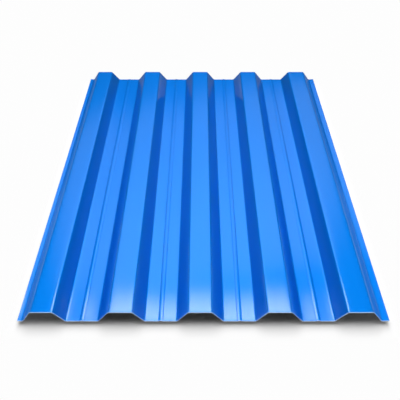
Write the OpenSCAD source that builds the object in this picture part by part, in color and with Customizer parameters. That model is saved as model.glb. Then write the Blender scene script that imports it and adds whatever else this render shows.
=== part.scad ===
// Profiled steel sheet: one strip of coated steel, roll formed into trapezoidal ribs.
// The ribs run along Y, X is the width and Z is up.
// The origin is under the middle of the sheet, on the plane that it lies on.

/* [Sheet] */
// Length of the sheet along its ribs
sheet_length = 1250; // [300:10:6000]
// Thickness of the coated steel
thickness = 1; // [0.5:0.1:1.5]
// Inside radius of the rib bends
bend_radius = 8; // [2:0.5:10]

/* [Ribs] */
// Number of ribs
rib_count = 5; // [2:1:8]
// Distance from the middle of one rib to the next
rib_pitch = 200; // [170:5:330]
// Depth of the profile, from valley face to crest face
rib_depth = 35; // [20:1:50]
// Width of a crest between its sharp corners
crest_width = 60; // [30:1:80]
// Width of a valley between its sharp corners
valley_width = 83; // [45:1:88]

/* [Valley beads] */
// Width of the stiffening bead that stands up along each valley
bead_width = 12.4; // [11:0.2:20]
// Sideways run of each shoulder of the bead
bead_shoulder_run = 1.5; // [1:0.1:1.8]
// Height of the shoulders above the valley
bead_shoulder_height = 0.8; // [0.6:0.1:1.2]
// Rise of the bead's crown above its shoulders
bead_crown_rise = 0.7; // [0.3:0.1:0.9]
// Inside radius of the bends at the foot and the shoulder of the bead
bead_bend_radius = 0.5; // [0.3:0.1:0.8]
// Inside radius of the crown of the bead
bead_crown_radius = 6; // [4:0.5:10]

/* [Side laps] */
// Narrowing of the first crest and widening of the last, so that they nest
lap_ease = 3.5; // [0:0.5:8]
// Sideways run of the outer web on the first rib, the underlap
underlap_web_run = 23; // [10:1:40]
// Sideways run of the outer web on the last rib, the overlap
overlap_web_run = 26; // [10:1:40]
// Width of the underlap's lip
underlap_lip = 14; // [10:1:40]
// Width of the overlap's lip
overlap_lip = 20; // [10:1:40]
// Rise of each lip towards its free edge
lip_rise = 1.6; // [0:0.2:4]

/* [Hidden] */

// Flat facets that make up one bend
bend_facets = 6;

// Bend radii along the middle of the steel
rib_bend = bend_radius + thickness / 2;
bead_bend = bead_bend_radius + thickness / 2;
crown_bend = bead_crown_radius + thickness / 2;

// The section is drawn flat, with x across the sheet and y up, along the middle of the steel
valley_y = thickness / 2;
shoulder_y = valley_y + bead_shoulder_height;
crown_y = shoulder_y + bead_crown_rise;
crest_y = valley_y + rib_depth;
lip_y = valley_y + lip_rise;

// From the middle of the first rib to the middle of the last
cover_width = (rib_count - 1) * rib_pitch;

underlap_crest_x = -cover_width / 2 - crest_width / 2 + lap_ease;
underlap_foot_x = underlap_crest_x - underlap_web_run;
underlap_edge_x = underlap_foot_x - underlap_lip;
overlap_crest_x = cover_width / 2 + crest_width / 2 + lap_ease;
overlap_foot_x = overlap_crest_x + overlap_web_run;
overlap_edge_x = overlap_foot_x + overlap_lip;

// Middle of the overall width, which goes to the origin
middle_x = (underlap_edge_x + overlap_edge_x) / 2;

// Each corner of the section is [x, y, bend radius]
underlap_corners = [
    [underlap_edge_x, lip_y, 0],
    [underlap_foot_x, valley_y, rib_bend],
    [underlap_crest_x, crest_y, rib_bend]
];
overlap_corners = [
    [overlap_crest_x, crest_y, rib_bend],
    [overlap_foot_x, valley_y, rib_bend],
    [overlap_edge_x, lip_y, 0]
];

// From the crest on the left of a valley, over its bead, to the crest on its right
function valley_corners(x) = [
    [x - rib_pitch / 2 + crest_width / 2, crest_y, rib_bend],
    [x - valley_width / 2, valley_y, rib_bend],
    [x - bead_width / 2, valley_y, bead_bend],
    [x - bead_width / 2 + bead_shoulder_run, shoulder_y, bead_bend],
    [x, crown_y, crown_bend],
    [x + bead_width / 2 - bead_shoulder_run, shoulder_y, bead_bend],
    [x + bead_width / 2, valley_y, bead_bend],
    [x + valley_width / 2, valley_y, rib_bend],
    [x + rib_pitch / 2 - crest_width / 2, crest_y, rib_bend]
];

function valley_x(i) = -cover_width / 2 + (i + 0.5) * rib_pitch;

corners = concat(
    underlap_corners,
    [for (i = [0 : rib_count - 2]) each valley_corners(valley_x(i))],
    overlap_corners
);
last_corner = len(corners) - 1;

function spot(i) = [corners[i][0], corners[i][1]];
function bend(i) = corners[i][2];

// Direction of the flat that leaves corner i, in degrees
function heading(i) = let (flat = spot(i + 1) - spot(i)) atan2(flat.y, flat.x);

// A direction as a vector
function towards(angle) = [cos(angle), sin(angle)];

// One face of a free edge, moved off the middle of the steel by side
function edge_face(i, along, side) = spot(i) + side * towards(along + 90);

// One face of the bend at corner i, moved off the middle of the steel by side
function bend_face(i, side) =
    let (
        start = heading(i - 1),
        turn = heading(i) - start,
        hand = sign(turn),
        centre = spot(i) + bend(i) / cos(turn / 2) * towards(start + turn / 2 + hand * 90)
    )
    [for (k = [0 : bend_facets])
        centre + (side - hand * bend(i)) * towards(start + turn * k / bend_facets + 90)
    ];

// One whole face of the section, from the underlap to the overlap
function section_face(side) = concat(
    [edge_face(0, heading(0), side)],
    [for (i = [1 : last_corner - 1]) each bend_face(i, side)],
    [edge_face(last_corner, heading(last_corner - 1), side)]
);

function reversed(list) = [for (i = [len(list) - 1 : -1 : 0]) list[i]];

module section() {
    upper_face = section_face(thickness / 2);
    lower_face = section_face(-thickness / 2);
    translate([-middle_x, 0])
        polygon(concat(upper_face, reversed(lower_face)));
}

module profiled_sheet() {
    color("#2b82e4")
        rotate([90, 0, 0])
            linear_extrude(height = sheet_length, center = true)
                section();
}

profiled_sheet();
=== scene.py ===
import math
import random

import bpy
import numpy as np
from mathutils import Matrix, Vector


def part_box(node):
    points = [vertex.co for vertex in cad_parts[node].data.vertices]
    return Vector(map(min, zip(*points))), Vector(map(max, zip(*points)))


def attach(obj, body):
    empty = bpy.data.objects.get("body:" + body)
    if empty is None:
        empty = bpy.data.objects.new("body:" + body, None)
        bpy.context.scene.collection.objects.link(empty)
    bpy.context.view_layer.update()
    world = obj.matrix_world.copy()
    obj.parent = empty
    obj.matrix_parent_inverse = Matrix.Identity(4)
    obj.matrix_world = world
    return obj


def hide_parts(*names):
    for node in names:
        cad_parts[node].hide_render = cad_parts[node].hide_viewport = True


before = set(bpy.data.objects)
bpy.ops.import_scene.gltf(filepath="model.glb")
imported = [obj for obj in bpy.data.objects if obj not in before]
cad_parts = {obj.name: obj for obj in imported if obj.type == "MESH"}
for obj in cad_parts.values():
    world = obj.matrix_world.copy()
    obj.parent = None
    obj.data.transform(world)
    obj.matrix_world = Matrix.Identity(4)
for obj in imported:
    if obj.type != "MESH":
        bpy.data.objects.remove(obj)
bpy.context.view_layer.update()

# The sheet: one strip of galvanised steel, colour coated in the coil, roll formed into
# trapezoidal ribs with a raised bead in each valley, and sheared to length. It is one piece,
# so its face, its near rim with a painted highlight, its back and its cut edges are four
# finishes on one mesh.
MM = 0.001
SHEET = "profiled_sheet"
low_corner, high_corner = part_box(SHEET)

# Sizes of the sheet are in millimetres, and bend radii are along the middle of the steel.
sheet_length = (high_corner.y - low_corner.y) / MM
sheet_height = (high_corner.z - low_corner.z) / MM
thickness = 1.0
bend_radius = 8.0 + thickness / 2
rib_count = 5
rib_pitch = 200.0
rib_depth = sheet_height - thickness
crest_width = 60.0
valley_width = 83.0
bead_width = 12.4
bead_shoulder_run = 1.5
bead_shoulder_height = 0.8
bead_crown_rise = 0.7
bead_bend_radius = 0.5 + thickness / 2
bead_crown_radius = 6.0 + thickness / 2
lap_ease = 3.5
underlap_web_run = 23.0
overlap_web_run = 26.0
underlap_lip = 14.0
overlap_lip = 20.0
lip_rise = 1.6

valley_z = thickness / 2
crest_z = valley_z + rib_depth
shoulder_z = valley_z + bead_shoulder_height
crown_z = shoulder_z + bead_crown_rise
lip_z = valley_z + lip_rise
cover_width = (rib_count - 1) * rib_pitch


def valley_corners(x):
    """Sharp corners (x, z, bend radius) from the crest left of a valley to the crest right of it."""
    crest_x = rib_pitch / 2 - crest_width / 2
    left = [
        (-crest_x, crest_z, bend_radius),
        (-valley_width / 2, valley_z, bend_radius),
        (-bead_width / 2, valley_z, bead_bend_radius),
        (-bead_width / 2 + bead_shoulder_run, shoulder_z, bead_bend_radius),
    ]
    crown = [(0.0, crown_z, bead_crown_radius)]
    right = [(-dx, z, r) for dx, z, r in reversed(left)]
    return [(x + dx, z, r) for dx, z, r in left + crown + right]


underlap_crest_x = -cover_width / 2 - crest_width / 2 + lap_ease
underlap_foot_x = underlap_crest_x - underlap_web_run
overlap_crest_x = cover_width / 2 + crest_width / 2 + lap_ease
overlap_foot_x = overlap_crest_x + overlap_web_run
corners = [
    (underlap_foot_x - underlap_lip, lip_z, 0.0),
    (underlap_foot_x, valley_z, bend_radius),
    (underlap_crest_x, crest_z, bend_radius),
]
for i in range(rib_count - 1):
    corners += valley_corners(-cover_width / 2 + (i + 0.5) * rib_pitch)
corners += [
    (overlap_crest_x, crest_z, bend_radius),
    (overlap_foot_x, valley_z, bend_radius),
    (overlap_foot_x + overlap_lip, lip_z, 0.0),
]
middle_x = (corners[0][0] + corners[-1][0]) / 2

# Stations run along the middle of the steel: place, normal, flat number and share of the
# flat's sag. A bend is stiff, so its stations have no sag.
BEND_FACETS = 8
FLAT_SPAN = 14.0
EDGE_ROUND = 0.25


def heading(i):
    """Direction of the flat that leaves corner i."""
    (x0, z0, _), (x1, z1, _) = corners[i], corners[i + 1]
    return math.atan2(z1 - z0, x1 - x0)


def towards(angle, length=1.0):
    """A direction in the section as a vector."""
    return np.array([math.cos(angle), math.sin(angle)]) * length


def flat_stations(number, start, end, angle):
    """Stations strictly between the two ends of a flat."""
    spans = max(1, round(np.linalg.norm(end - start) / FLAT_SPAN))
    normal = towards(angle + math.pi / 2)
    return [
        (start + (end - start) * k / spans, normal, number, math.sin(math.pi * k / spans) ** 2)
        for k in range(1, spans)
    ]


def bend_stations(i):
    """Stations round the bend at corner i, from one flat to the next."""
    start = heading(i - 1)
    turn = heading(i) - start
    hand = math.copysign(1, turn)
    x, z, radius = corners[i]
    inward = start + turn / 2 + hand * math.pi / 2
    centre = np.array([x, z]) + towards(inward, radius / math.cos(turn / 2))
    angles = [start + turn * k / BEND_FACETS + math.pi / 2 for k in range(BEND_FACETS + 1)]
    return [(centre - towards(a, hand * radius), towards(a), i, 0.0) for a in angles]


def edge_stations(i, angle, inward):
    """The slit edge of a lip: its rim, then the line where its rounding ends."""
    rim = np.array(corners[i][:2])
    normal = towards(angle + math.pi / 2)
    return [(rim, normal, i, 0.0), (rim + towards(angle, EDGE_ROUND * inward), normal, i, 0.0)]


last = len(corners) - 1
stations = edge_stations(0, heading(0), 1)
for i in range(1, last):
    bend = bend_stations(i)
    stations += flat_stations(i, stations[-1][0], bend[0][0], heading(i - 1)) + bend
far_edge = edge_stations(last, heading(last - 1), -1)[::-1]
stations += flat_stations(last, stations[-1][0], far_edge[0][0], heading(last - 1)) + far_edge

# Rings along the length, close together at the two ends, where the shears draw the top of the
# sheet down into a rounded rim. Long flats of thin sheet are never quite flat, and the coil's set
# leaves shallow waves along each of them.
RING_SPAN = 18.0
SAG = 0.07
WAVE_LENGTHS = (170.0, 290.0, 530.0)
WAVE_SEED = 35200
RIM_REACH = 2.8
RIM_DROP = 0.7
RIM_STEPS = (0.0, 0.04, 0.14, 0.32, 0.6, 1.0)
half_length = sheet_length / 2
rim_y = np.array(RIM_STEPS) * RIM_REACH
inner_y = np.linspace(-half_length, half_length, round(sheet_length / RING_SPAN) + 1)[1:-1]
ring_y = np.concatenate([rim_y - half_length, inner_y, half_length - rim_y[::-1]])


def rounding(distance):
    """How far the rim is drawn down at a distance from the cut."""
    share = np.clip(1 - distance / RIM_REACH, 0, 1)
    return RIM_DROP * (1 - np.sqrt(1 - share ** 2))


draw = random.Random(WAVE_SEED)
waves = []
for number in range(len(corners)):
    wave = np.zeros(len(ring_y))
    for length in WAVE_LENGTHS:
        wave += np.sin(2 * math.pi * (ring_y / length + draw.random()))
    waves.append(SAG * wave / len(WAVE_LENGTHS))

# Crests and valleys lean inwards by the depth of their waves, so that none stands out of the profile.
# At the four corners of the sheet the two roundings meet, and the rim's depth is the limit.
NEAR = 0.01
place = np.array([s[0] for s in stations])
normal = np.array([s[1] for s in stations])
on_crest = place[:, 1] > crest_z - NEAR
on_valley = place[:, 1] < valley_z + NEAR
lean = np.where(on_crest, -SAG, np.where(on_valley, SAG, 0.0))
sag = (np.array([waves[s[2]] for s in stations]).T + lean) * np.array([s[3] for s in stations])
top = np.full((len(ring_y), len(stations)), thickness / 2)
top -= rounding(half_length - np.abs(ring_y))[:, None]
top[:, [0, -1]] -= EDGE_ROUND
top = np.maximum(top, thickness / 2 - RIM_DROP)


def face_points(off):
    """One face of the sheet as rows of points, ring by ring, in metres."""
    off = off + sag
    x = place[:, 0] + off * normal[:, 0] - middle_x
    z = place[:, 1] + off * normal[:, 1]
    y = np.repeat(ring_y[:, None], len(stations), 1)
    return np.stack([x, y, z], -1).reshape(-1, 3) * MM


# The upper face and the back, then the sheared ends, then the slit edges of the lips
COATED, RIM_HIGHLIGHT, BACK, SHEARED = range(4)
# The first rings at the near end take a pale coat: a painted highlight along the near cut.
RIM_HIGHLIGHT_RINGS = 4
rows, columns = len(ring_y), len(stations)
points = np.concatenate([face_points(top), face_points(-thickness / 2)])
under = rows * columns
quads, finishes = [], []
for r in range(rows - 1):
    for c in range(columns - 1):
        a = r * columns + c
        b = a + columns
        quads.append((a, a + 1, b + 1, b))
        quads.append((under + a, under + b, under + b + 1, under + a + 1))
        finishes += [RIM_HIGHLIGHT if r < RIM_HIGHLIGHT_RINGS else COATED, BACK]
for c in range(columns - 1):
    a = c
    b = (rows - 1) * columns + c
    quads.append((a, under + a, under + a + 1, a + 1))
    quads.append((b, b + 1, under + b + 1, under + b))
    finishes += [SHEARED, SHEARED]
for r in range(rows - 1):
    a = r * columns
    b = a + columns - 1
    quads.append((a, a + columns, under + a + columns, under + a))
    quads.append((b, under + b, under + b + columns, b + columns))
    finishes += [SHEARED, SHEARED]

SHARP_FROM = math.radians(35)
scene = bpy.context.scene
mesh = bpy.data.meshes.new("coated_sheet")
mesh.from_pydata(points.tolist(), [], quads)
mesh.polygons.foreach_set("material_index", finishes)
mesh.shade_smooth()
mesh.set_sharp_from_angle(angle=SHARP_FROM)
sheet = bpy.data.objects.new("coated_sheet", mesh)
scene.collection.objects.link(sheet)


def linear(hex_colour):
    """An sRGB hex colour as linear RGBA."""
    parts = [int(hex_colour[i:i + 2], 16) / 255 for i in (1, 3, 5)]
    return [c / 12.92 if c <= 0.04045 else ((c + 0.055) / 1.055) ** 2.4 for c in parts] + [1.0]


def add(tree, kind, settings=None, **links):
    """Adds a node. Settings are properties or input values, and links are input=output socket.

    A link names its input with _ for each space, or gives its number after _.
    """
    made = tree.nodes.new(kind)
    for name, value in (settings or {}).items():
        if isinstance(name, int) or name in made.inputs:
            made.inputs[name].default_value = value
        else:
            setattr(made, name, value)
    for name, socket in links.items():
        key = int(name[1:]) if name[1:].isdigit() else name.replace("_", " ")
        tree.links.new(socket, made.inputs[key])
    return made


def new_material(name):
    """An empty node material and its tree."""
    made = bpy.data.materials.new(name)
    made.use_nodes = True
    made.node_tree.nodes.clear()
    return made, made.node_tree


SPOT_DETAIL = 3.0


def add_finish(name, spots, colours, roughness, settings):
    """Gives the sheet its next finish, in the order of their numbers above.

    It has spots of those sizes in mm, in two colours and two roughnesses.
    """
    made, tree = new_material(name)
    spot = add(tree, "ShaderNodeTexCoord")
    scaled = add(tree, "ShaderNodeMapping", {"Scale": [1 / (size * MM) for size in spots]},
                 Vector=spot.outputs["Object"])
    mottle = add(tree, "ShaderNodeTexNoise", {"Scale": 1.0, "Detail": SPOT_DETAIL},
                 Vector=scaled.outputs[0])
    colour = add(tree, "ShaderNodeMix", {
        "data_type": "RGBA", 6: linear(colours[0]), 7: linear(colours[1])}, _0=mottle.outputs["Fac"])
    rough = add(tree, "ShaderNodeMapRange", {"To Min": roughness[0], "To Max": roughness[1]},
                Value=mottle.outputs["Fac"])
    skin = add(tree, "ShaderNodeBsdfPrincipled", settings,
               Base_Color=colour.outputs[2], Roughness=rough.outputs[0])
    add(tree, "ShaderNodeOutputMaterial", Surface=skin.outputs[0])
    mesh.materials.append(made)


# Metallic polyester coil coating: baked on in a continuous line, so it is even and hard, with
# faint streaks along the rolling direction. Blue flake under a semi-gloss clear top gives the eye
# deep blue webs, flats that glow where they face the light, and a white bloom over the near ends.
add_finish("metallic_polyester_coil_coating", spots=(22.0, 900.0, 22.0),
           colours=("#0082e7", "#0086eb"), roughness=(0.56, 0.62),
           settings={"Metallic": 0.86, "Specular IOR Level": 0.0,
                     "Coat Weight": 0.6, "Coat Roughness": 0.1, "Coat IOR": 1.5})

# The same coating over the first few millimetres of the near rim, painted pale in specks of a few
# millimetres: a painted highlight, the pale line along the near cut where the rim catches the light.
# The far rim keeps the plain coating.
add_finish("painted_highlight_rim_coating", spots=(2.5, 2.5, 2.5),
           colours=("#a8cbf3", "#c2dcfb"), roughness=(0.35, 0.45),
           settings={"Coat Weight": 0.6, "Coat Roughness": 0.15})

# Epoxy backing lacquer: the thin grey service coat rolled onto the underside. It is matt, and
# cloudy in long patches where the steel's zinc shows through.
add_finish("epoxy_backing_lacquer", spots=(45.0, 260.0, 45.0),
           colours=("#686c70", "#808486"), roughness=(0.55, 0.68), settings={})

# Sheared galvanised steel: the bare cut, dull and blue-grey, scored through its thickness by the
# shears. The real marks are under a millimetre wide, and are drawn at 6 mm so that they show.
add_finish("sheared_galvanised_steel", spots=(6.0, 6.0, 4.0),
           colours=("#7c8aa3", "#9cacc6"), roughness=(0.38, 0.52), settings={"Metallic": 1.0})

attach(sheet, "root")
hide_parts(SHEET)

# The floor: a wide sheet of white studio paper, laid flat a little below the sheet, which is held
# off it as on thin spacers. Sizes from here on are in metres.
FLOOR_SIZE = 40.0
FLOOR_GAP = 0.013
reach = FLOOR_SIZE / 2
floor_z = low_corner.z - FLOOR_GAP
floor_mesh = bpy.data.meshes.new("floor")
floor_mesh.from_pydata([(-reach, -reach, floor_z), (reach, -reach, floor_z), (reach, reach, floor_z),
                        (-reach, reach, floor_z)], [], [(0, 1, 2, 3)])
floor = bpy.data.objects.new("floor", floor_mesh)
scene.collection.objects.link(floor)

# Studio paper: matt white. Close to the sheet it gives the eye the real shadow, and further out it is
# plain white, also in reflections, where the part of it in line with the sheet is painted grey as shade.
# Each distance is from one side of the sheet outwards: to the sides, to the front and to the back.
PAPER_WHITE = "#fafafa"
PAPER_PAINTED_SHADE = "#808080"
PAPER_GLOW = 1.03
SHADE_EDGE = (0.05, 0.3)
SEEN_REACH = ((-0.01, 0.03), (-0.022, 0.054), (-0.1, 0.0))
MIRRORED_REACH = ((0.0, 0.1), (0.0, 0.1), (0.0, 0.15))
paper, tree = new_material("studio_paper")
spot = add(tree, "ShaderNodeTexCoord")
axes = add(tree, "ShaderNodeSeparateXYZ", Vector=spot.outputs["Object"])
aside = add(tree, "ShaderNodeMath", {"operation": "ABSOLUTE"}, _0=axes.outputs["X"])
aside = add(tree, "ShaderNodeMath", {"operation": "SUBTRACT", 1: high_corner.x}, _0=aside.outputs[0])
ahead = add(tree, "ShaderNodeMath", {"operation": "SUBTRACT", 0: low_corner.y}, _1=axes.outputs["Y"])
behind = add(tree, "ShaderNodeMath", {"operation": "SUBTRACT", 1: high_corner.y}, _0=axes.outputs["Y"])
path = add(tree, "ShaderNodeLightPath")
plain = None
for ray, reaches in (("Is Camera Ray", SEEN_REACH), ("Is Glossy Ray", MIRRORED_REACH),
                     ("Is Transmission Ray", MIRRORED_REACH)):
    for away, (start, end) in zip((aside, ahead, behind), reaches):
        part = add(tree, "ShaderNodeMapRange", {
            "From Min": start, "From Max": end, "interpolation_type": "SMOOTHSTEP"},
            Value=away.outputs[0])
        part = add(tree, "ShaderNodeMath", {"operation": "MULTIPLY"},
                   _0=part.outputs[0], _1=path.outputs[ray])
        if plain is not None:
            part = add(tree, "ShaderNodeMath", {"operation": "MAXIMUM"},
                       _0=plain.outputs[0], _1=part.outputs[0])
        plain = part
# In reflections the paper in line with the sheet is painted grey: a painted shade.
painted_shade = add(tree, "ShaderNodeMapRange", {
    "From Min": SHADE_EDGE[0], "From Max": SHADE_EDGE[1], "To Min": 1.0, "To Max": 0.0},
    Value=aside.outputs[0])
painted_shade = add(tree, "ShaderNodeMath", {"operation": "MULTIPLY"},
             _0=path.outputs["Is Glossy Ray"], _1=painted_shade.outputs[0])
tone = add(tree, "ShaderNodeMix", {"data_type": "RGBA", 6: linear(PAPER_WHITE), 7: linear(PAPER_PAINTED_SHADE)},
           _0=painted_shade.outputs[0])
matt = add(tree, "ShaderNodeBsdfDiffuse", Color=tone.outputs[2])
white = add(tree, "ShaderNodeEmission", {"Strength": PAPER_GLOW}, Color=tone.outputs[2])
both = add(tree, "ShaderNodeMixShader", _0=plain.outputs[0], _1=matt.outputs[0], _2=white.outputs[0])
add(tree, "ShaderNodeOutputMaterial", Surface=both.outputs[0])
floor_mesh.materials.append(paper)

# The light: a wide softbox overhead, a bright one behind it that the near flats mirror as a white
# bloom, a card at the back that the other flats mirror, and a low strip at each side for the outer
# webs. A soft sun from behind adds light to what is matt, and is not mirrored. Angles are in degrees.
LAMP_MIDDLE = 0.5
FOOT_SPAN = (0.28, 0.88)


def add_softbox(name, place, size, radiance, fade, turn=(0, 0, 0), skew=0.0, foot=1.0):
    """A rectangular lamp that fades over those shares of its sides.

    Skew slants its head and foot, and foot is how bright the foot is beside the head.
    """
    lamp = bpy.data.lights.new(name, "AREA")
    lamp.shape = "RECTANGLE"
    lamp.size, lamp.size_y = size
    lamp.energy = radiance * math.pi * lamp.size * lamp.size_y
    lamp.use_nodes = True
    tree = lamp.node_tree
    tree.nodes.clear()
    spot = add(tree, "ShaderNodeNewGeometry")
    axes = add(tree, "ShaderNodeSeparateXYZ", Vector=spot.outputs["Parametric"])
    slant = add(tree, "ShaderNodeMath", {
        "operation": "MULTIPLY_ADD", 1: skew, 2: -skew * LAMP_MIDDLE}, _0=axes.outputs["X"])
    along = add(tree, "ShaderNodeMath", {"operation": "ADD"}, _0=axes.outputs["Y"], _1=slant.outputs[0])
    level = add(tree, "ShaderNodeMapRange", {
        "From Min": FOOT_SPAN[0], "From Max": FOOT_SPAN[1], "To Min": 1.0, "To Max": foot,
        "interpolation_type": "SMOOTHSTEP"}, Value=along.outputs[0])
    for socket, share in zip((axes.outputs["X"], along.outputs[0]), fade):
        away = add(tree, "ShaderNodeMath", {"operation": "SUBTRACT", 1: LAMP_MIDDLE}, _0=socket)
        away = add(tree, "ShaderNodeMath", {"operation": "ABSOLUTE"}, _0=away.outputs[0])
        edge = add(tree, "ShaderNodeMapRange", {
            "From Min": LAMP_MIDDLE - share, "From Max": LAMP_MIDDLE, "To Min": 1.0, "To Max": 0.0,
            "interpolation_type": "SMOOTHSTEP"}, Value=away.outputs[0])
        level = add(tree, "ShaderNodeMath", {"operation": "MULTIPLY"},
                    _0=level.outputs[0], _1=edge.outputs[0])
    glow = add(tree, "ShaderNodeEmission", Strength=level.outputs[0])
    add(tree, "ShaderNodeOutputLight", Surface=glow.outputs[0])
    made = bpy.data.objects.new(name, lamp)
    made.location = place
    made.rotation_euler = [math.radians(angle) for angle in turn]
    made.visible_camera = False
    scene.collection.objects.link(made)


add_softbox("top_softbox", place=(0, -0.2, 3.5), size=(5.0, 2.6), radiance=2.7, fade=(0.08, 0.12))
add_softbox("rear_softbox", place=(0, 1.14, 2.4), size=(2.16, 0.7), radiance=13.17, fade=(0.2, 0.42))
add_softbox("back_card", place=(-0.08, 2.5, 2.405), size=(3.4, 2.65), radiance=1.66, fade=(0.2, 0.15),
            turn=(-90, 0, 0), skew=-0.27, foot=0.5)
for name, side in (("left_strip", -1), ("right_strip", 1)):
    add_softbox(name, place=(side * 1.45, 0, 0.11), size=(0.2, 2.2), radiance=3.6, fade=(0.2, 0.1),
                turn=(0, side * 90, 0))

KICKER_STRENGTH = 1.4
KICKER_SPREAD = 20
KICKER_TURN = -60
kicker_data = bpy.data.lights.new("kicker", "SUN")
kicker_data.energy = KICKER_STRENGTH
kicker_data.angle = math.radians(KICKER_SPREAD)
kicker = bpy.data.objects.new("kicker", kicker_data)
kicker.rotation_euler = (math.radians(KICKER_TURN), 0, 0)
kicker.visible_glossy = False
scene.collection.objects.link(kicker)

# The room: plain white to the camera. The sheet mirrors its white walls low down on the camera's
# side, up to the angles of their top. Elsewhere the room is dark, so that only the lamps shape the
# flats and the webs stay deep.
WALL_WHITE = "#ffffff"
WALL_TOP = (6, 18)
WALL_SIDE = (0.0, -0.3)
ROOM_FILL = 0.03
world = bpy.data.worlds.new("studio")
scene.world = world
world.use_nodes = True
tree = world.node_tree
tree.nodes.clear()
spot = add(tree, "ShaderNodeTexCoord")
axes = add(tree, "ShaderNodeSeparateXYZ", Vector=spot.outputs["Generated"])
level = add(tree, "ShaderNodeMapRange", {
    "From Min": math.sin(math.radians(WALL_TOP[0])), "From Max": math.sin(math.radians(WALL_TOP[1])),
    "To Min": 1.0, "To Max": 0.0, "interpolation_type": "SMOOTHSTEP"}, Value=axes.outputs["Z"])
near_half = add(tree, "ShaderNodeMapRange", {
    "From Min": WALL_SIDE[0], "From Max": WALL_SIDE[1], "interpolation_type": "SMOOTHSTEP"},
    Value=axes.outputs["Y"])
path = add(tree, "ShaderNodeLightPath")
for share in (near_half.outputs[0], path.outputs["Is Glossy Ray"]):
    level = add(tree, "ShaderNodeMath", {"operation": "MULTIPLY"}, _0=level.outputs[0], _1=share)
for ray in ("Is Camera Ray", "Is Transmission Ray"):
    level = add(tree, "ShaderNodeMath", {"operation": "MAXIMUM"},
                _0=level.outputs[0], _1=path.outputs[ray])
level = add(tree, "ShaderNodeMath", {"operation": "MAXIMUM", 1: ROOM_FILL}, _0=level.outputs[0])
around = add(tree, "ShaderNodeBackground", {"Color": linear(WALL_WHITE)}, Strength=level.outputs[0])
add(tree, "ShaderNodeOutputWorld", Surface=around.outputs[0])

# The camera: a normal lens on a full-frame sensor, both in millimetres. It stands at the front and
# looks down on the sheet along its ribs.
CAMERA_PLACE = (-0.0084, -1.472, 1.1443)
LOOKS_DOWN = 41.0
LENS = 49.39
SENSOR_WIDTH = 36.0
SEES_AS_FAR_AS = 100.0
camera_data = bpy.data.cameras.new("camera")
camera_data.sensor_width = SENSOR_WIDTH
camera_data.lens = LENS
camera_data.clip_end = SEES_AS_FAR_AS
camera = bpy.data.objects.new("camera", camera_data)
camera.location = CAMERA_PLACE
camera.rotation_euler = (math.radians(90 - LOOKS_DOWN), 0, 0)
scene.collection.objects.link(camera)
scene.camera = camera
scene.view_settings.view_transform = "Standard"
